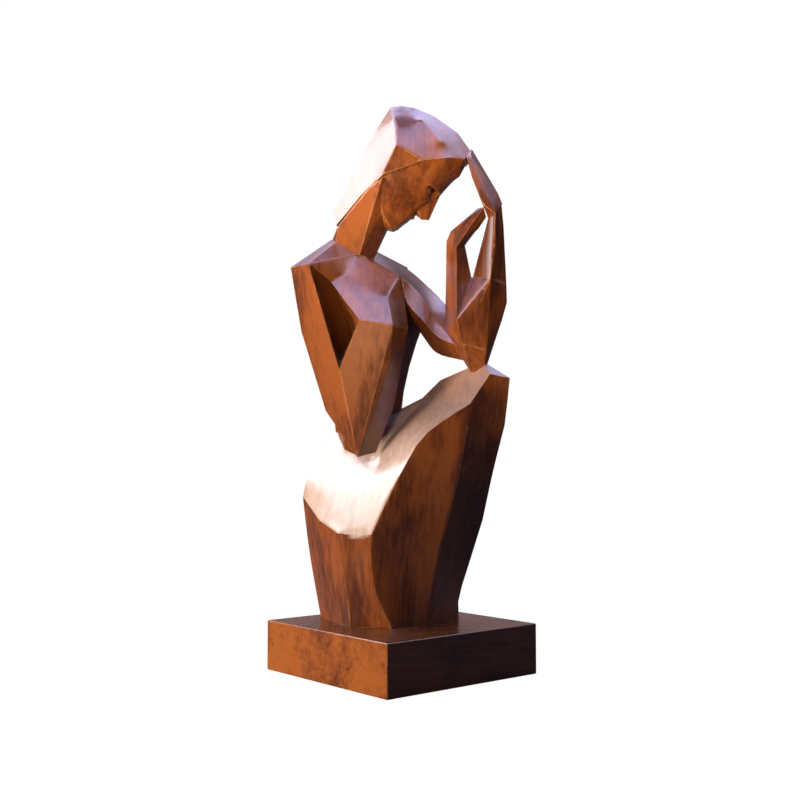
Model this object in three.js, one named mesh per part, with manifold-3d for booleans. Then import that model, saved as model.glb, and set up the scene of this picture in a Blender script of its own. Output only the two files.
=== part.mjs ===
// A faceted wooden figure of a seated person, head bowed to one raised hand, on a square wooden plinth.
// The carving is one piece. It stands on the plinth, which is the second piece.
// Millimetres, +Z up, origin at the middle of the plinth's underside. The figure faces -Y.

import * as THREE from 'three';
import { ConvexGeometry } from 'three/addons/geometries/ConvexGeometry.js';
import { mergeVertices } from 'three/addons/utils/BufferGeometryUtils.js';
import Module from 'manifold-3d';

// Driving dimensions
const figureHeight = 645;
const plinthWidth = 232;
const plinthDepth = 232;
const plinthThickness = 60;
const plinthChamfer = 1.5;
const smallestEdge = 0.15;

const wasm = await Module();
wasm.setup();

// A point of the carving: thousandths of the figure's height, measured from the plinth's top.
const share = figureHeight / 1000;
const point = ([x, y, z]) => new THREE.Vector3(x, y, z).multiplyScalar(share);

// An arris, the edge where two carved planes meet, as evenly spaced points on a smooth curve.
function arris(points, steps) {
  const curve = new THREE.CatmullRomCurve3(points.map(point), false, 'centripetal');
  return curve.getSpacedPoints(steps);
}

// A closed mesh as a solid, its faces turned outward.
function solid(geometry) {
  const bare = geometry.clone();
  bare.deleteAttribute('normal');
  bare.deleteAttribute('uv');
  const merged = mergeVertices(bare, 1e-4);
  const corners = merged.getAttribute('position').array;
  const kept = [];
  let volume = 0;
  for (let i = 0; i < merged.index.count; i += 3) {
    const [a, b, c] = merged.index.array.slice(i, i + 3);
    if (a === b || b === c || c === a) continue;
    kept.push(a, b, c);
    const [p, q, r] = [a, b, c].map((v) => new THREE.Vector3().fromArray(corners, 3 * v));
    volume += p.dot(q.cross(r));
  }
  if (volume < 0) kept.reverse();
  const mesh = new wasm.Mesh({
    numProp: 3,
    vertProperties: new Float32Array(corners),
    triVerts: new Uint32Array(kept),
  });
  return new wasm.Manifold(mesh);
}

// A block cut by flat planes: the smallest solid with these corners.
const block = (points) => solid(new ConvexGeometry(points.map((p) => (p.isVector3 ? p : point(p)))));

// A solid bounded by arrises that run side by side, listed around it, with flat ends.
function carve(arrises) {
  const count = arrises.length;
  const steps = arrises[0].length;
  const vertices = arrises.flat();
  const faces = [];
  for (let side = 0; side < count; side += 1) {
    const next = (side + 1) % count;
    for (let step = 0; step < steps - 1; step += 1) {
      const a = side * steps + step;
      const b = next * steps + step;
      const crossed = vertices[a].distanceTo(vertices[b + 1]) > vertices[b].distanceTo(vertices[a + 1]);
      faces.push(...(crossed ? [a, b, a + 1, b, b + 1, a + 1] : [a, b, b + 1, a, b + 1, a + 1]));
    }
  }
  for (const [step, turned] of [[0, true], [steps - 1, false]]) {
    const middle = vertices.length;
    const centre = new THREE.Vector3();
    arrises.forEach((line) => centre.addScaledVector(line[step], 1 / count));
    vertices.push(centre);
    for (let side = 0; side < count; side += 1) {
      const a = side * steps + step;
      const b = ((side + 1) % count) * steps + step;
      faces.push(...(turned ? [middle, b, a] : [middle, a, b]));
    }
  }
  const geometry = new THREE.BufferGeometry().setFromPoints(vertices);
  geometry.setIndex(faces);
  return solid(geometry);
}

// The seated lower body: eight arrises rise from the base to the hip, bend there,
// and run on to the ridge that climbs from the waist to the raised left knee.
function lowerBody() {
  const waist = [-8, 124, 335];
  const lap = [20, 65, 390];
  const ridgeFoot = [73, 20, 425];
  const ridgeTop = [90, -14, 459];
  const knee = [112, -110, 490];
  const shin = [98, -143, 464];
  const shinFoot = [60, -129, 408];
  const sides = [
    { low: [[-82, 141, 0], [-90, 147, 53], [-102, 154, 133], [-115, 157, 233]],
      high: [[-115, 157, 233], [-109, 155, 259], [-88, 152, 302], [-71, 144, 335], [-48, 132, 361]],
      ends: [waist, waist, waist] },
    { low: [[-104, 74, 0], [-111, 82, 60], [-117, 90, 126], [-122, 92, 190]],
      high: [[-122, 92, 190], [-102, 99, 258], [-76, 97, 304], [-50, 88, 340], [-15, 78, 370]],
      ends: [lap, lap, lap] },
    { low: [[-115, 5, 0], [-118, 14, 67], [-119, 28, 119], [-119, 38, 168]],
      high: [[-119, 38, 168], [-82, 43, 260], [-50, 42, 296], [-5, 25, 349], [69, 10, 420]],
      ends: [ridgeFoot, ridgeFoot, ridgeFoot] },
    { low: [[-70, -59, 0], [-90, -40, 56], [-98, -31, 122], [-95, -31, 168]],
      high: [[-95, -31, 168], [-65, -47, 240], [-40, -60, 293], [-14, -78, 344], [15, -97, 373]],
      ends: [shinFoot, shin, ridgeTop] },
    { low: [[5, -76, 0], [14, -81, 70], [23, -88, 141], [31, -98, 186]],
      high: [[31, -98, 186], [40, -107, 240], [50, -118, 310], [56, -125, 365]],
      ends: [shinFoot, shin, knee] },
    { low: [[110, -43, 0], [107, -45, 33], [118, -70, 120], [127, -92, 190]],
      high: [[127, -92, 190], [132, -115, 280], [135, -144, 369]],
      ends: [[134, -153, 415], [132, -161, 457], knee] },
    { low: [[130, 65, 0], [140, 50, 90], [149, 31, 171], [152, 10, 230]],
      high: [[152, 10, 230], [155, -16, 295], [155, -70, 370]],
      ends: [[154, -100, 415], [152, -124, 453], ridgeTop] },
    { low: [[88, 153, 0], [112, 145, 70], [130, 136, 140], [134, 128, 200]],
      high: [[134, 128, 200], [133, 118, 250], [118, 85, 330]],
      ends: [[108, 65, 370], [98, 45, 400], ridgeFoot] },
    { low: [[52, 168, 0], [62, 166, 80], [70, 164, 140], [70, 160, 210]],
      high: [[70, 160, 210], [68, 150, 270], [58, 130, 330]],
      ends: [[48, 110, 360], [35, 90, 380], lap] },
    { low: [[0, 167, 0], [0, 174, 80], [-3, 177, 140], [-8, 175, 240]],
      high: [[-8, 175, 240], [-8, 170, 290], [-8, 155, 345]],
      ends: [waist, waist, waist] },
  ];
  const lowSteps = 6;
  const highSteps = 8;
  return carve(sides.map(({ low, high, ends }) => [
    ...arris(low, lowSteps),
    ...arris(high, highSteps).slice(1),
    ...ends.map(point),
  ]));
}

// The trunk, from inside the hips up to the chest, with the shoulders as one block across it.
function trunk() {
  const steps = 6;
  const ribs = carve([
    arris([[-36, 62, 290], [-54, 38, 372], [-52, 25, 453], [-48, 5, 530], [-50, 5, 600]], steps),
    arris([[45, 58, 290], [50, 59, 384], [55, 51, 453], [69, 39, 522], [84, 25, 580]], steps),
    arris([[60, 95, 290], [66, 95, 372], [80, 92, 453], [100, 88, 530], [118, 90, 610]], steps),
    arris([[45, 138, 290], [48, 140, 372], [58, 142, 453], [72, 145, 530], [90, 142, 630]], steps),
    arris([[0, 150, 290], [-2, 152, 372], [-8, 154, 453], [-15, 156, 530], [-25, 157, 630]], steps),
    arris([[-45, 136, 290], [-50, 140, 372], [-62, 144, 453], [-85, 148, 530], [-110, 148, 630]], steps),
    arris([[-60, 93, 290], [-66, 93, 372], [-70, 92, 453], [-80, 92, 530], [-95, 95, 620]], steps),
  ]);
  const shoulders = block([
    [-80, 70, 590], [70, 50, 580], [118, 90, 610], [90, 142, 630], [-25, 157, 630], [-110, 148, 630],
    [-95, 95, 620], [-152, 92, 674], [-155, 144, 674], [-109, 86, 651], [-42, 74, 706], [-70, 112, 730],
    [-56, 147, 741], [0, 101, 727], [54, 112, 714], [98, 95, 696], [120, 112, 670], [40, 150, 700],
    [10, 40, 640],
  ]);
  return ribs.add(shoulders);
}

// The right arm: a flat strip down to the elbow on the lap, and the forearm back up to the chest.
// The back of the hand is one flat plane that runs on into the chest.
function rightArm() {
  const [wristOuter, wristInner, wristUnder] = [[-93, 8, 564], [-52, -39, 552], [0, -23, 553]];
  const [knuckle, chest, chestUnder] = [[-40, -8, 610], [4, 8, 656], [9, -1, 613]];
  const [shoulderFront, shoulderInner, neckFoot] = [[-152, 90, 674], [-108, 84, 649], [-43, 73, 703]];
  const [slitFoot, elbow] = [[-113, 43, 473], [-81, 29, 309]];
  const upperArm = block([
    [-155, 144, 674], [-136, 135, 552], [-102, 101, 398], elbow,
    shoulderFront, slitFoot, shoulderInner, [-100, 140, 690],
    [-104, 120, 600], [-100, 125, 552], [-70, 75, 400], [-50, 30, 335],
  ]);
  const forearm = block([
    wristOuter, wristInner, wristUnder, [-49, -27, 490], elbow, slitFoot, [-90, 62, 420],
    [-40, 25, 318], [-10, 10, 400], [-50, 20, 560], [-45, -20, 580],
  ]);
  const hand = block([
    wristOuter, wristInner, knuckle, shoulderInner, neckFoot, wristUnder, chestUnder,
    [-60, 30, 550], [-80, 85, 640], [-20, 30, 600],
  ]);
  const chestFront = block([
    shoulderInner, neckFoot, chest, knuckle, chestUnder, [5, 35, 610], [-60, 30, 600], [-10, 50, 650],
    [-40, 80, 690],
  ]);
  return upperArm.add(forearm).add(hand).add(chestFront);
}

// The deep slit between the right upper arm and the forearm, narrower inside than at its mouth.
function slit() {
  const mouth = [[-155, 87, 676], [-111, 81, 648], [-95, 5, 564], [-116, 41, 473]];
  const inside = [[-81, 111, 650], [-66, 113, 597], [-43, 113, 577], [-37, 107, 545], [-74, 92, 495]];
  const floor = inside.map(([x, y, z]) => [x + 50, y + 10, z]);
  return block([...mouth, ...inside]).add(block([...inside, ...floor]));
}

// The left upper arm, from the neck and shoulder forward and down to the elbow on the knee.
// Its top meets a narrow hollow plane, which turns under into the dark side above the lap.
function leftUpperArm() {
  const stepsBetween = 4;
  const top = [
    [0, 101, 727], [32, 94, 714], [64, 86, 701], [82, 58, 677], [93, 27, 648], [99, -14, 612],
    [102, -60, 570],
  ];
  const ridge = [
    [-42, 75, 705], [-18, 43, 682], [5, 11, 658], [28, 5, 642], [48, -16, 609], [59, -38, 567],
    [71, -75, 527],
  ];
  const hollow = [
    [-36, 78, 690], [-14, 46, 672], [8, 14, 652], [12, -4, 607], [32, -29, 569], [53, -49, 538],
    [70, -79, 522],
  ];
  const under = [
    [-20, 90, 640], [0, 70, 620], [15, 40, 600], [46, 22, 577], [67, 8, 542], [81, -11, 513],
    [95, -76, 493],
  ];
  const back = [
    [60, 130, 690], [90, 122, 681], [120, 115, 672], [138, 85, 636], [141, 40, 600], [139, -25, 555],
    [132, -85, 512],
  ];
  const arrises = [top, ridge, hollow, under, back];
  const [topLine, ridgeLine, hollowLine, underLine, backLine] = arrises.map((stations) => {
    const curve = new THREE.CatmullRomCurve3(stations.map(point), false, 'centripetal');
    return curve.getPoints(stepsBetween * (stations.length - 1));
  });
  // The wide planes twist as they run, so lines are ruled between their two arrises.
  const ruled = (from, to, count) => Array.from({ length: count }, (_, line) => (
    from.map((corner, step) => corner.clone().lerp(to[step], (line + 1) / (count + 1)))
  ));
  const [fewLines, manyLines] = [2, 5];
  return carve([
    topLine, ...ruled(topLine, ridgeLine, fewLines), ridgeLine, hollowLine, underLine,
    ...ruled(underLine, backLine, manyLines), backLine, ...ruled(backLine, topLine, manyLines),
  ]);
}

// The left forearm stands on the knee. The hand opens into two branches around a slot
// and joins again in one bent finger that reaches the forehead.
function leftForearm() {
  const wrist = block([
    [115, -121, 491], [99, -132, 509], [65, -104, 522], [54, -99, 566], [71, -50, 552],
    [112, -112, 470], [94, -94, 470], [126, -100, 470], [112, -80, 472],
    [71, -50, 600], [91, -127, 600], [110, -133, 647], [104, -87, 654], [132, -122, 536],
    [147, -127, 572], [158, -129, 605], [160, -126, 640], [150, -60, 600], [120, -30, 560],
    [140, -60, 520],
  ]);
  const thumb = block([
    [71, -50, 590], [73, -51, 724], [79, -56, 743], [54, -99, 566], [65, -91, 667],
    [65, -87, 707], [104, -87, 654], [95, -79, 693], [95, -79, 715], [105, -45, 600],
    [105, -45, 700],
  ]);
  const thumbTip = block([
    [73, -51, 724], [79, -56, 743], [65, -87, 707], [95, -79, 715], [105, -45, 700],
    [119, -90, 788], [115, -96, 747], [116, -109, 787], [130, -80, 780], [127, -105, 770],
  ]);
  const palm = block([
    [110, -132, 642], [106, -88, 650], [160, -126, 640], [150, -70, 610], [130, -109, 729],
    [124, -132, 707], [158, -121, 684], [150, -80, 700], [131, -108, 772], [130, -127, 776],
    [158, -121, 755], [150, -90, 774], [130, -123, 788], [156, -118, 795],
  ]);
  const finger = block([
    [129, -127, 774], [129, -109, 766], [113, -112, 791], [129, -124, 786], [157, -119, 797],
    [150, -90, 780], [110, -109, 802], [99, -95, 845], [96, -84, 885], [105, -84, 891],
    [122, -71, 909], [140, -96, 854], [152, -112, 819], [115, -60, 900], [125, -75, 840],
  ]);
  return wrist.add(thumb).add(thumbTip).add(palm).add(finger);
}

// The head's own frame: bowed forward and turned to the figure's left.
const headTurn = THREE.MathUtils.degToRad(44);
const headBow = THREE.MathUtils.degToRad(51);
const headCentre = [40, 22, 884];
const headFrame = new THREE.Matrix4()
  .makeTranslation(...headCentre)
  .multiply(new THREE.Matrix4().makeRotationZ(headTurn))
  .multiply(new THREE.Matrix4().makeRotationX(headBow));

// Points of the head: thousandths of the figure's height to one side, forward and up from its centre.
const sideOf = (side, rows) => rows.map(([across, front, up]) => (
  new THREE.Vector3(side * across, -front, up).applyMatrix4(headFrame).multiplyScalar(share)
));

// The same points on both sides of the head; those on its middle line are there once.
const headPoints = (rows) => [...sideOf(1, rows), ...sideOf(-1, rows.filter(([across]) => across > 0))];

function head() {
  const skull = block(headPoints([
    [0, -112, 45], [0, -100, 62], [0, -80, 79], [0, -41, 98], [0, 14, 112], [0, 64, 108], [0, 76, 88],
    [0, -94, -9], [0, -70, -66], [11, -99, 49], [37, -79, 31], [53, -58, 22], [73, -25, -1],
    [70, 2, -58], [71, 30, 17], [53, 54, 61], [28, 70, 86], [40, -20, -70], [50, 20, 70], [40, -40, 70],
  ]));
  const nape = block(headPoints([
    [0, -94, -9], [0, -70, -66], [0, -47, -118], [0, -18, -180], [73, -25, -1], [70, 2, -58],
    [52, 0, -111], [23, 7, -186], [20, 10, -110], [40, 10, -40],
  ]));
  const face = block(headPoints([
    [28, 69, 84], [52, 53, 60], [69, 30, 16], [67, -6, -52], [60, 52, 8], [56, 60, -18],
    [56, 16, -84], [38, 54, -104], [12, 82, -108], [9, 70, -117], [12, 85, -98], [0, 83, -80],
    [22, 82, -60], [20, 84, -20], [48, 68, 20], [14, 86, 20], [0, 88, 18], [0, 84, 60], [30, 10, -80],
    [45, -25, -60], [45, -25, 40], [12, 0, -115],
  ]));
  const sockets = [1, -1].map((side) => block(sideOf(side, [
    [5, 94, 12], [8, 74, 2], [11, 94, -27], [58, 66, -3], [34, 84, 12], [33, 69, 0], [37, 84, -24],
  ])));
  const lids = [1, -1].map((side) => block(sideOf(side, [
    [11, 77, -5], [47, 65, -4], [28, 72, 3], [29, 76, -14], [28, 79, -6], [28, 60, -6],
  ])));
  const nose = block(headPoints([
    [5, 80, 14], [0, 86, 12], [0, 112, -40], [15, 82, -44], [0, 84, -54], [8, 100, -50], [10, 70, -20],
  ]));
  const upperLip = block(headPoints([
    [0, 91, -63], [8, 90, -61], [21, 80, -68], [0, 85, -52], [0, 76, -74],
  ]));
  const lowerLip = block(headPoints([
    [0, 89, -76], [9, 87, -75], [18, 79, -70], [4, 80, -85], [4, 74, -66],
  ]));
  return [...lids, nose, upperLip, lowerLip].reduce(
    (whole, feature) => whole.add(feature),
    skull.add(nape).add(sockets.reduce((rest, socket) => rest.subtract(socket), face)),
  );
}

// The neck, from the shoulders into the head.
function neck() {
  return block([
    [-70, 112, 722], [-47, 68, 700], [0, 80, 700], [5, 105, 715], [-56, 147, 735], [-20, 130, 720],
    [-72, 105, 758], [-55, 48, 812], [-50, 27, 827], [-39, 7, 843], [10, 0, 850], [50, 40, 840],
    [10, 95, 840], [5, 60, 775], [-25, 120, 790],
  ]);
}

// A square board with a thin chamfer along its top edges and corners.
function plinthGeometry() {
  const [x, y, c] = [plinthWidth / 2, plinthDepth / 2, plinthChamfer];
  const outline = (inset) => [
    [x - inset, y - c], [x - c, y - inset], [c - x, y - inset], [inset - x, y - c],
    [inset - x, c - y], [c - x, inset - y], [x - c, inset - y], [x - inset, c - y],
  ];
  const layers = [[0, c], [c, 0], [plinthThickness - c, 0], [plinthThickness, c]];
  return new ConvexGeometry(layers.flatMap(([z, inset]) => (
    outline(inset).map(([px, py]) => new THREE.Vector3(px, py, z))
  )));
}

// A solid's surface as a geometry whose triangles are shaded flat.
function surface(carving) {
  const { vertProperties, triVerts } = carving.getMesh();
  const geometry = new THREE.BufferGeometry();
  geometry.setAttribute('position', new THREE.BufferAttribute(vertProperties, 3));
  geometry.setIndex([...triVerts]);
  return geometry;
}

const stainedWood = new THREE.MeshStandardMaterial({ color: 0x8a4a26, roughness: 0.35, flatShading: true });
const plinthWood = new THREE.MeshStandardMaterial({ color: 0x8c4416, roughness: 0.4, flatShading: true });

const aboveTheHips = [rightArm(), leftUpperArm(), leftForearm(), neck(), head()];
const body = aboveTheHips.reduce((whole, part) => whole.add(part), trunk()).subtract(slit());
const carving = body.add(lowerBody()).asOriginal().simplify(smallestEdge);
const figure = new THREE.Mesh(surface(carving), stainedWood);
figure.name = 'figure';
figure.position.z = plinthThickness;

const plinth = new THREE.Mesh(plinthGeometry(), plinthWood);
plinth.name = 'plinth';

const sculpture = new THREE.Group();
sculpture.add(figure, plinth);

export default sculpture;
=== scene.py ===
"""A faceted wooden figure, seated with its head bowed to one raised hand, on a square plinth."""

import bmesh
import bpy
import numpy as np
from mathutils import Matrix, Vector


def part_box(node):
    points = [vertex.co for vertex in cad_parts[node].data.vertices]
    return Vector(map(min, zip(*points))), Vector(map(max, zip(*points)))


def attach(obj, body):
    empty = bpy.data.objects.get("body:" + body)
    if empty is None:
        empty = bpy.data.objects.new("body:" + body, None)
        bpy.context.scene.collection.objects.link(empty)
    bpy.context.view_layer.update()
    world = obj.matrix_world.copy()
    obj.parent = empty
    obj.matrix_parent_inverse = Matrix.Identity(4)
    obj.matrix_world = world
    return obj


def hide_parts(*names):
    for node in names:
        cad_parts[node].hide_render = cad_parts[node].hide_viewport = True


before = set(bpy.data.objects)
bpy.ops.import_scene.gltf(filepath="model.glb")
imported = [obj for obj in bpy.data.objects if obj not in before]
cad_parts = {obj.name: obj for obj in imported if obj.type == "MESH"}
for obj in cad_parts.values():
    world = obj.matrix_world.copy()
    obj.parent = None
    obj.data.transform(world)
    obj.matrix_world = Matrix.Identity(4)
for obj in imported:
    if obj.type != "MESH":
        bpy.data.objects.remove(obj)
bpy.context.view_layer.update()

# The room: a camera at the photograph's place, a floor and backdrop that look white, and seven lights.
# The camera is 50 mm, stands off the plinth's front right corner and looks up by 3 degrees.
# Nothing in this section is part of the sculpture.
EYE = Vector((-0.87586, -1.04283, 0.25466))
LOOK = Vector((0.64188, 0.76484, 0.05483))
FLOOR_HALF = 6.0

camera = bpy.data.objects.new("camera", bpy.data.cameras.new("camera"))
camera.data.lens = 50
camera.data.sensor_width = 36
camera.location = EYE
camera.rotation_euler = LOOK.to_track_quat("-Z", "Y").to_euler()
bpy.context.scene.collection.objects.link(camera)
bpy.context.scene.camera = camera
bpy.context.scene.view_settings.view_transform = "Standard"


def principled(name, **values):
    """A material and its shader, with plain values set on the shader's own sockets."""
    made = bpy.data.materials.new(name)
    made.use_nodes = True
    shader = made.node_tree.nodes["Principled BSDF"]
    for socket, value in values.items():
        shader.inputs[socket.replace("_", " ")].default_value = value
    return made, shader


# The floor is white to the camera and dark to every other ray, so it throws little light on the wood.
floor_corners = [(-FLOOR_HALF, -FLOOR_HALF, 0), (FLOOR_HALF, -FLOOR_HALF, 0)]
floor_corners += [(FLOOR_HALF, FLOOR_HALF, 0), (-FLOOR_HALF, FLOOR_HALF, 0)]
floor_mesh = bpy.data.meshes.new("floor")
floor_mesh.from_pydata(floor_corners, [], [(0, 1, 2, 3)])
floor = bpy.data.objects.new("floor", floor_mesh)
floor_paint, floor_shader = principled("floor paint", Base_Color=(0.05, 0.045, 0.045, 1), Roughness=0.9)
floor_nodes, floor_links = floor_paint.node_tree.nodes, floor_paint.node_tree.links
floor_white = floor_nodes.new("ShaderNodeEmission")
floor_seen = floor_nodes.new("ShaderNodeLightPath")
floor_mix = floor_nodes.new("ShaderNodeMixShader")
floor_links.new(floor_seen.outputs["Is Camera Ray"], floor_mix.inputs["Fac"])
floor_links.new(floor_shader.outputs["BSDF"], floor_mix.inputs[1])
floor_links.new(floor_white.outputs["Emission"], floor_mix.inputs[2])
floor_links.new(floor_mix.outputs["Shader"], floor_nodes["Material Output"].inputs["Surface"])
floor_mesh.materials.append(floor_paint)
bpy.context.scene.collection.objects.link(floor)

# The backdrop is white to the camera, an even dusk to the wood's colour, and a banded sky to its shine.
# The sky's bands go by height: 0 is the horizon and 1 is overhead.
SKY_BANDS = (
    (0.05, (0.030, 0.018, 0.015, 1)),
    (0.30, (0.015, 0.010, 0.012, 1)),
    (0.60, (0.20, 0.15, 0.20, 1)),
    (0.69, (1.2, 1.1, 1.4, 1)),
    (0.78, (2.2, 2.0, 3.0, 1)),
    (0.89, (2.5, 2.6, 4.8, 1)),
    (0.935, (2.3, 2.2, 4.0, 1)),
    (0.965, (0.35, 0.22, 0.35, 1)),
)

room = bpy.data.worlds.new("room")
bpy.context.scene.world = room
room.use_nodes = True
room_nodes, room_links = room.node_tree.nodes, room.node_tree.links
backdrop = room_nodes["Background"]
backdrop.inputs["Color"].default_value = (1, 1, 1, 1)
sky = room_nodes.new("ShaderNodeBackground")
direction = room_nodes.new("ShaderNodeTexCoord")
climb = room_nodes.new("ShaderNodeSeparateXYZ")
bands = room_nodes.new("ShaderNodeValToRGB")
bands.color_ramp.elements[0].position, bands.color_ramp.elements[0].color = SKY_BANDS[0]
bands.color_ramp.elements[1].position, bands.color_ramp.elements[1].color = SKY_BANDS[-1]
for level, colour in SKY_BANDS[1:-1]:
    bands.color_ramp.elements.new(level).color = colour
dusk = room_nodes.new("ShaderNodeBackground")
dusk.inputs["Color"].default_value = (0.06, 0.045, 0.05, 1)
shine_or_colour = room_nodes.new("ShaderNodeMixShader")
room_seen = room_nodes.new("ShaderNodeLightPath")
camera_or_wood = room_nodes.new("ShaderNodeMixShader")
room_links.new(direction.outputs["Generated"], climb.inputs["Vector"])
room_links.new(climb.outputs["Z"], bands.inputs["Fac"])
room_links.new(bands.outputs["Color"], sky.inputs["Color"])
room_links.new(room_seen.outputs["Is Glossy Ray"], shine_or_colour.inputs["Fac"])
room_links.new(dusk.outputs["Background"], shine_or_colour.inputs[1])
room_links.new(sky.outputs["Background"], shine_or_colour.inputs[2])
room_links.new(room_seen.outputs["Is Camera Ray"], camera_or_wood.inputs["Fac"])
room_links.new(shine_or_colour.outputs["Shader"], camera_or_wood.inputs[1])
room_links.new(backdrop.outputs["Background"], camera_or_wood.inputs[2])
room_links.new(camera_or_wood.outputs["Shader"], room_nodes["World Output"].inputs["Surface"])


def soft_light(name, place, aim, size, watts, colour, spread=180):
    """A panel of light at place, turned to aim, that the camera itself doesn't see; spread in degrees."""
    lamp = bpy.data.lights.new(name, "AREA")
    lamp.shape = "RECTANGLE"
    lamp.size, lamp.size_y = size
    lamp.spread = np.radians(spread)
    lamp.energy = watts
    lamp.color = colour
    panel = bpy.data.objects.new(name, lamp)
    panel.location = place
    panel.rotation_euler = (Vector(aim) - Vector(place)).to_track_quat("-Z", "Y").to_euler()
    panel.visible_camera = False
    bpy.context.scene.collection.objects.link(panel)
    return panel


# Four lights colour the wood and leave no shine on it; the other three show only in its shine.
TRUNK = (0, 0, 0.38)
HEAD = (0.05, -0.05, 0.65)
low_sun = soft_light("low warm sun", (-1.56, 0.36, 0.06), TRUNK, (0.4, 0.1), 52, (1.0, 0.76, 0.48))
head_light = soft_light("warm light on the head", (-1.06, -0.66, 0.40), HEAD, (0.3, 0.3), 1.7,
                        (1.0, 0.76, 0.50), 34)
cool_sky = soft_light("cool sky above", (-0.86, 0.50, 2.12), TRUNK, (1.4, 1.4), 14, (0.60, 0.68, 1.0))
white_sky = soft_light("white sky behind", (-1.15, 1.13, 1.62), TRUNK, (1.9, 1.2), 45, (0.97, 0.98, 1.0))
lavender_sky = soft_light("lavender sky behind", (0.75, 1.25, 1.75), TRUNK, (1.1, 1.1), 2, (0.72, 0.66, 1.0))
pale_ground = soft_light("pale ground beyond", (1.35, 1.60, 0.33), TRUNK, (2.2, 0.5), 0.9, (1.0, 0.70, 0.70))
back_light = soft_light("soft light behind", (1.35, 1.50, 0.65), TRUNK, (1.5, 1.0), 30, (1.0, 0.86, 0.72))
for panel in (low_sun, head_light, cool_sky, back_light):
    panel.visible_glossy = False
for panel in (white_sky, lavender_sky, pale_ground):
    panel.visible_diffuse = False

# The figure: one block of wood carved in planes that meet in crisp arrises, then stained and lacquered.
# The planes are the frame's own. They are cut into small faces, the gently curved ones are smoothed
# between their arrises, and a light tool ripple is left on every plane. All sizes are in metres.
ARRIS_ANGLE = np.radians(22)
LONGEST_EDGE = 0.0052
SAME_CORNER = 2e-6
SHORTEST_ARRIS = 4e-4
SMOOTH_START = 0.0015
SMOOTH_REACH = 0.010
SMOOTH_SHARE = 0.8
SMOOTH_ROUNDS = 40
RIPPLE = 0.00007
RIPPLE_REACH = 0.008
FINGER_ENDS = np.array([(0.086, -0.078, 0.562), (0.068, -0.052, 0.650)], np.float32)
FINGER_KEPT = (0.018, 0.026)


def welded_copy(node, name):
    """The CAD node's triangles with their shared corners joined."""
    copied = bmesh.new()
    copied.from_mesh(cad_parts[node].data)
    bmesh.ops.remove_doubles(copied, verts=copied.verts, dist=SAME_CORNER)
    mesh = bpy.data.meshes.new(name)
    copied.to_mesh(mesh)
    copied.free()
    return mesh


def sharp_lines(mesh, angle, raised_only):
    """The two ends of each edge whose faces meet at more than that angle, or of the raised ones alone."""
    shape = bmesh.new()
    shape.from_mesh(mesh)
    ends = []
    for edge in shape.edges:
        long_enough = edge.calc_length() > SHORTEST_ARRIS
        sharp = edge.is_manifold and edge.calc_face_angle(0.0) > angle
        if long_enough and sharp and (edge.is_convex or not raised_only):
            ends.append((edge.verts[0].co[:], edge.verts[1].co[:]))
    shape.free()
    ends = np.array(ends, np.float32)
    return ends[:, 0], ends[:, 1]


def finely_cut(mesh, longest):
    """The mesh with its long edges halved until none is longer; its planes and arrises stay as they are."""
    shape = bmesh.new()
    shape.from_mesh(mesh)
    long_edges = [edge for edge in shape.edges if edge.calc_length() > longest]
    while long_edges:
        bmesh.ops.subdivide_edges(shape, edges=long_edges, cuts=1)
        wide = [face for face in shape.faces if len(face.verts) > 3]
        bmesh.ops.triangulate(shape, faces=wide, quad_method="SHORT_EDGE")
        long_edges = [edge for edge in shape.edges if edge.calc_length() > longest]
    shape.to_mesh(mesh)
    shape.free()


def distance_to_lines(points, starts, ends, at_once=4000):
    """Each point's distance to the nearest of the lines: the line's closest point is found by projection."""
    along = ends - starts
    length2 = (along ** 2).sum(1)
    nearest = np.empty(len(points), np.float32)
    for first in range(0, len(points), at_once):
        part = points[first:first + at_once, None, :]
        share = ((part - starts) * along).sum(2) / length2
        closest = starts + np.clip(share, 0, 1)[:, :, None] * along
        nearest[first:first + at_once] = np.sqrt(((part - closest) ** 2).sum(2)).min(1)
    return nearest


def read_from(things, key, width, kind=np.float32):
    """One property of a mesh's vertices, edges or faces, as an array with a row for each."""
    flat = np.empty(len(things) * width, kind)
    things.foreach_get(key, flat)
    return flat.reshape(-1, width)


def move_points(mesh, points):
    """The mesh's vertices are put at the points of an array."""
    mesh.vertices.foreach_set("co", points.astype(np.float32).ravel())
    mesh.update()


def relaxed(points, edges, weight, rounds):
    """Each point is drawn to the mean of its neighbours, by its own weight, that many times over."""
    count = np.bincount(edges.ravel(), minlength=len(points)).clip(1)[:, None]
    for _ in range(rounds):
        total = np.stack([
            np.bincount(edges[:, 0], points[edges[:, 1], k], len(points))
            + np.bincount(edges[:, 1], points[edges[:, 0], k], len(points)) for k in range(3)
        ], 1)
        points = points + weight[:, None] * (total / count - points)
    return points


def tool_ripple(points, normals):
    """A shallow wave along each plane: sines of several lengths, their phases set by place and facing."""
    x, y, z = (points * 1000).T
    nx, ny, nz = normals.T
    long_wave = np.sin(z * 0.11 + x * 0.05 + nx * 5) * np.sin(y * 0.07 - z * 0.03 + ny * 7)
    short_wave = np.sin(z * 0.37 + y * 0.21 + nz * 9) * np.sin(x * 0.29 - z * 0.13 + nx * 4)
    return long_wave + 0.5 * short_wave


def eased_step(values, low, high):
    """0 below low, 1 above high, and a soft rise between."""
    share = np.clip((values - low) / (high - low), 0, 1)
    return share * share * (3 - 2 * share)


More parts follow.
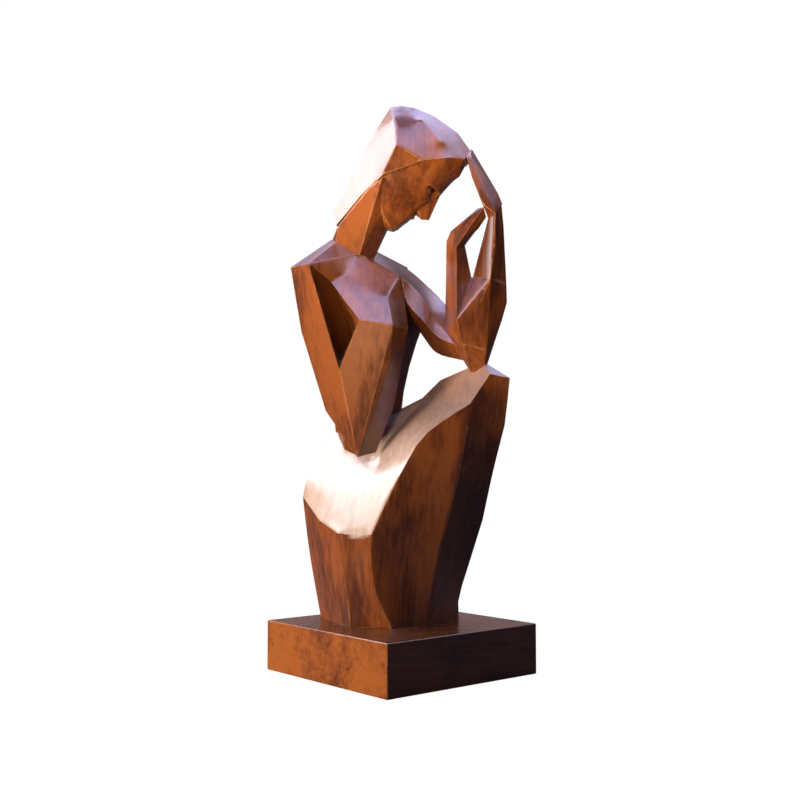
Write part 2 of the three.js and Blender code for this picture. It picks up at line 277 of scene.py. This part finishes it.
def painted_sky_sheen_on_hip_and_lap(mesh):
    """How strongly the sky's reflection is painted on each face: the product of soft steps in its facing and
    its height.

    The planes with the painted reflection face up and to the right, and run from the right hip to the knee,
    where it fades.
    """
    facing = read_from(mesh.polygons, "normal", 3)
    height = read_from(mesh.polygons, "center", 3)[:, 2]
    turned_up = eased_step(facing[:, 2], 0.12, 0.20) * eased_step(-facing[:, 0], 0.45, 0.60)
    above_hip = eased_step(height, 0.150, 0.165)
    below_knee = eased_step(-height, -0.400, -0.385)
    fading = 1 - 0.62 * eased_step(height, 0.250, 0.350)
    return turned_up * (above_hip * below_knee) * fading


def set_attribute(mesh, name, domain, values):
    """One number for each vertex or face, kept on the mesh."""
    layer = mesh.attributes.new(name, "FLOAT", domain)
    layer.data.foreach_set("value", np.asarray(values, np.float32))


def shade_smooth(mesh):
    """Every face is shaded smooth."""
    mesh.polygons.foreach_set("use_smooth", np.ones(len(mesh.polygons), bool))
    mesh.update()


carved = welded_copy("figure", "carved_figure")
line_starts, line_ends = sharp_lines(carved, ARRIS_ANGLE, False)
raised_starts, raised_ends = sharp_lines(carved, ARRIS_ANGLE, True)
finely_cut(carved, LONGEST_EDGE)

figure_points = read_from(carved.vertices, "co", 3)
figure_edges = read_from(carved.edges, "vertices", 2, np.int32)
from_arris = distance_to_lines(figure_points, line_starts, line_ends)
from_finger = distance_to_lines(figure_points, FINGER_ENDS[:1], FINGER_ENDS[1:])
plane_weight = np.clip((from_arris - SMOOTH_START) / SMOOTH_REACH, 0, 1) * SMOOTH_SHARE
plane_weight = plane_weight * eased_step(from_finger, *FINGER_KEPT)
figure_points = relaxed(figure_points, figure_edges, plane_weight, SMOOTH_ROUNDS)
move_points(carved, figure_points)
figure_normals = read_from(carved.vertex_normals, "vector", 3)
ripple = RIPPLE * np.clip(from_arris / RIPPLE_REACH, 0, 1) * tool_ripple(figure_points, figure_normals)
figure_points = figure_points + figure_normals * ripple[:, None]
move_points(carved, figure_points)
set_attribute(carved, "arris", "POINT", distance_to_lines(figure_points, raised_starts, raised_ends))
# The pale attribute marks the faces where the sky's reflection is painted into the colour.
set_attribute(carved, "pale", "FACE", painted_sky_sheen_on_hip_and_lap(carved))
shade_smooth(carved)
carved.set_sharp_from_angle(angle=ARRIS_ANGLE * 0.8)
figure = bpy.data.objects.new("carved_figure", carved)
bpy.context.scene.collection.objects.link(figure)


# Its finish is brushed red-brown stain under a clear lacquer, rubbed thin along the raised arrises,
# with a painted reflection of the pale sky on the upward planes of the hip and lap. Each of these is a group
# that puts out a colour, and the stain's a roughness and a height too. The shader itself stays in its
# material.
def node_group(name, inputs, outputs):
    """A new group with named sockets of the kinds given."""
    group = bpy.data.node_groups.new(name, "ShaderNodeTree")
    for label, kind in inputs:
        group.interface.new_socket(label, in_out="INPUT", socket_type="NodeSocket" + kind)
    for label, kind in outputs:
        group.interface.new_socket(label, in_out="OUTPUT", socket_type="NodeSocket" + kind)
    return group, group.nodes.new("NodeGroupInput"), group.nodes.new("NodeGroupOutput")


def add(tree, kind, settings=None, **values):
    """A node of that kind; settings are its properties, and values go on its sockets by name."""
    node = tree.nodes.new("ShaderNode" + kind)
    for key, value in (settings or {}).items():
        setattr(node, key, value)
    for key, value in values.items():
        node.inputs[key.replace("_", " ")].default_value = value
    return node


def stretch(tree, place, scale):
    """place, scaled by a different amount along each axis."""
    node = add(tree, "VectorMath", {"operation": "MULTIPLY"})
    node.inputs[1].default_value = scale
    tree.links.new(place, node.inputs[0])
    return node.outputs["Vector"]


def noise(tree, place, scale, detail, roughness, distortion=0.0):
    """Smooth noise read at place, with scale waves to a metre along each axis."""
    node = add(tree, "TexNoise", Scale=1.0, Detail=detail, Roughness=roughness, Distortion=distortion)
    tree.links.new(stretch(tree, place, scale), node.inputs["Vector"])
    return node.outputs["Fac"]


def window(tree, value, low, high, out_low=0.0, out_high=1.0):
    """value between low and high, spread over out_low to out_high with soft ends."""
    node = add(tree, "MapRange", {"interpolation_type": "SMOOTHSTEP"},
               From_Min=low, From_Max=high, To_Min=out_low, To_Max=out_high)
    tree.links.new(value, node.inputs["Value"])
    return node.outputs["Result"]


def arithmetic(tree, operation, first, second):
    """Two values added, multiplied or divided; the second may be a plain number."""
    node = add(tree, "Math", {"operation": operation})
    tree.links.new(first, node.inputs[0])
    if isinstance(second, (int, float)):
        node.inputs[1].default_value = second
    else:
        tree.links.new(second, node.inputs[1])
    return node.outputs["Value"]


def weighted_sum(tree, first, first_share, second, second_share):
    """The sum of two values, each times its share."""
    first_part = arithmetic(tree, "MULTIPLY", first, first_share)
    second_part = arithmetic(tree, "MULTIPLY", second, second_share)
    return arithmetic(tree, "ADD", first_part, second_part)


def blend(tree, amount, first, second):
    """Two colours mixed by amount."""
    node = add(tree, "Mix", {"data_type": "RGBA"})
    tree.links.new(amount, node.inputs["Factor"])
    tree.links.new(first, node.inputs["A"])
    tree.links.new(second, node.inputs["B"])
    return node.outputs["Result"]


def brushed_stain():
    """Stain laid on by hand: cloudy patches from dark to orange, long brush streaks up the wood, fine pores.

    The tone is a sum of clouds and streaks. High tones are bright and low ones dark, as the pores are.
    """
    group, given, result = node_group(
        "brushed stain",
        [("Place", "Vector"), ("Dark", "Color"), ("Middle", "Color"), ("Bright", "Color")],
        [("Color", "Color"), ("Roughness", "Float"), ("Height", "Float")],
    )
    place = given.outputs["Place"]
    cloud = noise(group, place, (16, 16, 7), 4, 0.55, 0.4)
    streak = noise(group, place, (190, 190, 12), 5, 0.6, 0.3)
    grain = noise(group, place, (420, 420, 16), 4, 0.7)
    speck = noise(group, place, (260, 260, 150), 3, 0.6)
    tone = weighted_sum(group, cloud, 0.62, streak, 0.38)
    warm = blend(group, window(group, tone, 0.40, 0.60), given.outputs["Middle"], given.outputs["Bright"])
    stained = blend(group, window(group, tone, 0.47, 0.34, 0.0, 0.45), warm, given.outputs["Dark"])
    pored = blend(group, window(group, grain, 0.60, 0.78, 0.0, 0.22), stained, given.outputs["Dark"])
    brushed = window(group, streak, 0.35, 0.7, 0.38, 0.5)
    dusty = window(group, speck, 0.45, 0.75, 0.0, 0.10)
    group.links.new(pored, result.inputs["Color"])
    group.links.new(arithmetic(group, "ADD", brushed, dusty), result.inputs["Roughness"])
    group.links.new(weighted_sum(group, streak, 0.6, grain, 0.4), result.inputs["Height"])
    return group


def rubbed_arris():
    """Where hands and cloths rub the stain thin: paler wood in a broken line along each raised arris.

    The amount falls with the distance to the arris over a reach that noise makes uneven.
    """
    group, given, result = node_group(
        "rubbed arris",
        [("Place", "Vector"), ("Color", "Color"), ("Bare", "Color"), ("Arris", "Float"), ("Reach", "Float")],
        [("Color", "Color")],
    )
    broken = noise(group, given.outputs["Place"], (70, 70, 70), 4, 0.7)
    uneven = window(group, broken, 0.35, 0.68, 0.15, 1.0)
    reach = arithmetic(group, "MULTIPLY", uneven, given.outputs["Reach"])
    near = arithmetic(group, "DIVIDE", given.outputs["Arris"], reach)
    amount = window(group, near, 1.3, 0.2, 0.0, 0.45)
    rubbed = blend(group, amount, given.outputs["Color"], given.outputs["Bare"])
    group.links.new(rubbed, result.inputs["Color"])
    return group


def painted_sky_reflection():
    """A painted reflection of the pale sky on broad planes; the grain still shows through it as faint
    streaks.
    """
    group, given, result = node_group(
        "painted sky reflection",
        [("Place", "Vector"), ("Color", "Color"), ("Bare", "Color"), ("Pale", "Float")],
        [("Color", "Color")],
    )
    streak = noise(group, given.outputs["Place"], (150, 150, 9), 5, 0.65, 0.2)
    streaked = window(group, streak, 0.32, 0.62, 0.72, 1.0)
    amount = arithmetic(group, "MULTIPLY", given.outputs["Pale"], streaked)
    rubbed = blend(group, amount, given.outputs["Color"], given.outputs["Bare"])
    group.links.new(rubbed, result.inputs["Color"])
    return group


stain_group = brushed_stain()
sky_reflection_group = painted_sky_reflection()
arris_group = rubbed_arris()


def place_group(tree, group, **values):
    """A shared group placed in a material, with this material's own values on it."""
    node = tree.nodes.new("ShaderNodeGroup")
    node.node_tree = group
    for key, value in values.items():
        if isinstance(value, bpy.types.NodeSocket):
            tree.links.new(value, node.inputs[key])
        else:
            node.inputs[key].default_value = value
    return node


def kept_on_mesh(tree, name):
    """The number that a mesh attribute holds."""
    return add(tree, "Attribute", {"attribute_name": name}).outputs["Fac"]


def lacquered_wood(name, dark, middle, bright, bare, turn, reach, pale=None):
    """Stained and lacquered wood; turn slants the brush marks, reach is the rubbed arris's width.

    bare is the colour of the rubbed arrises, and pale that of the painted sky reflection on the hip and lap
    planes, if the piece has any.
    """
    made, shader = principled(
        name, Specular_IOR_Level=0.25, Coat_Weight=1.0, Coat_Roughness=0.22, Coat_IOR=1.7
    )
    tree = made.node_tree
    where = add(tree, "TexCoord")
    turned = add(tree, "Mapping", Rotation=turn)
    tree.links.new(where.outputs["Object"], turned.inputs["Vector"])
    place = turned.outputs["Vector"]
    stain = place_group(tree, stain_group, Place=place, Dark=dark, Middle=middle, Bright=bright)
    colour = stain.outputs["Color"]
    # The pale colour is a painted reflection of the sky, laid on where the mesh's pale attribute marks it.
    if pale:
        sky_reflection_amount = kept_on_mesh(tree, "pale")
        planes = place_group(tree, sky_reflection_group, Place=place, Color=colour, Bare=pale, Pale=sky_reflection_amount)
        colour = planes.outputs["Color"]
    to_arris = kept_on_mesh(tree, "arris")
    arrises = place_group(
        tree, arris_group, Place=place, Color=colour, Bare=bare, Arris=to_arris, Reach=reach
    )
    tree.links.new(arrises.outputs["Color"], shader.inputs["Base Color"])
    tree.links.new(stain.outputs["Roughness"], shader.inputs["Roughness"])
    eased = add(tree, "Bevel", {"samples": 4}, Radius=0.0009)
    relief = add(tree, "Bump", Strength=0.2, Distance=0.0004)
    tree.links.new(eased.outputs["Normal"], relief.inputs["Normal"])
    tree.links.new(stain.outputs["Height"], relief.inputs["Height"])
    tree.links.new(relief.outputs["Normal"], shader.inputs["Normal"])
    return made


def finish_piece(piece, node, material):
    """A finished piece takes its node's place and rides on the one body."""
    piece.data.materials.clear()
    piece.data.materials.append(material)
    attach(piece, "root")
    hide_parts(node)


# The pale colour is the painted reflection of the lavender-white sky on the hip and lap.
figure_wood = lacquered_wood(
    "figure wood", dark=(0.015, 0.0045, 0.002, 1), middle=(0.075, 0.020, 0.006, 1),
    bright=(0.185, 0.056, 0.013, 1), bare=(0.36, 0.17, 0.07, 1), turn=(0.10, -0.12, 0.4), reach=0.0012,
    pale=(0.46, 0.39, 0.41, 1)
)
finish_piece(figure, "figure", figure_wood)

# The plinth: one square board under the figure, its edges eased with a plane.
# Its faces are very slightly uneven, and it has the figure's stain in a more orange tone.
# The figure stands on its top face, so both keep the places that the frame gives them.
plinth_low, plinth_high = np.array(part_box("plinth"))
PLINTH_EASE = 0.0016
PLINTH_UNEVEN = 0.00012
UNEVEN_REACH = 0.01
PLINTH_WAVE = 0.6
PLINTH_CELLS = 72


def eased_board(low, high, ease, cells):
    """A box with round edges, each face a grid whose lines draw together toward the edges by a sine.

    Each point is drawn to the box shrunk by ease, and then moved out from it by ease.
    """
    centre, half = (low + high) / 2, (high - low) / 2
    edge = np.sin(np.linspace(-1, 1, cells) * np.pi / 2)
    u, v = np.meshgrid(edge, edge, indexing="ij")
    points, faces = [], []
    for axis in range(3):
        across, up = (axis + 1) % 3, (axis + 2) % 3
        for side in (-1, 1):
            grid = np.empty((cells, cells, 3))
            grid[..., axis] = side * half[axis]
            grid[..., across] = u * half[across]
            grid[..., up] = v * half[up]
            index = np.arange(cells * cells).reshape(cells, cells) + len(points) * cells * cells
            corner = [index[:-1, :-1], index[1:, :-1], index[1:, 1:], index[:-1, 1:]]
            faces.append(np.stack(corner if side > 0 else corner[::-1], -1).reshape(-1, 4))
            points.append(grid.reshape(-1, 3))
    points, faces = np.concatenate(points), np.concatenate(faces)
    core = np.clip(points, -(half - ease), half - ease)
    outward = points - core
    outward /= np.linalg.norm(outward, axis=1)[:, None]
    return core + outward * ease + centre, faces


def joined_mesh(name, points, faces):
    """A mesh of those faces, its seams joined."""
    mesh = bpy.data.meshes.new(name)
    mesh.from_pydata(points.tolist(), [], faces.tolist())
    joined = bmesh.new()
    joined.from_mesh(mesh)
    bmesh.ops.remove_doubles(joined, verts=joined.verts, dist=1e-6)
    joined.to_mesh(mesh)
    joined.free()
    return mesh


board = joined_mesh("plinth_board", *eased_board(plinth_low, plinth_high, PLINTH_EASE, PLINTH_CELLS))
board_points = read_from(board.vertices, "co", 3)
board_normals = read_from(board.vertex_normals, "vector", 3)
inward = np.minimum(board_points - plinth_low, plinth_high - board_points)
from_edge = np.sort(inward, axis=1)[:, 1].clip(0)
uneven = PLINTH_UNEVEN * tool_ripple(board_points * PLINTH_WAVE, board_normals)
uneven = np.abs(uneven * np.clip(from_edge / UNEVEN_REACH, 0, 1))
board_points = board_points - board_normals * uneven[:, None]
board_points[:, 2] = np.clip(board_points[:, 2], plinth_low[2], None)
move_points(board, board_points)
set_attribute(board, "arris", "POINT", from_edge)
shade_smooth(board)
plinth = bpy.data.objects.new("plinth_board", board)
bpy.context.scene.collection.objects.link(plinth)
plinth_wood = lacquered_wood(
    "plinth wood", dark=(0.020, 0.006, 0.002, 1), middle=(0.11, 0.030, 0.005, 1),
    bright=(0.23, 0.070, 0.010, 1), bare=(0.42, 0.22, 0.09, 1), turn=(0, 1.5, 0.1), reach=0.0016
)
finish_piece(plinth, "plinth", plinth_wood)
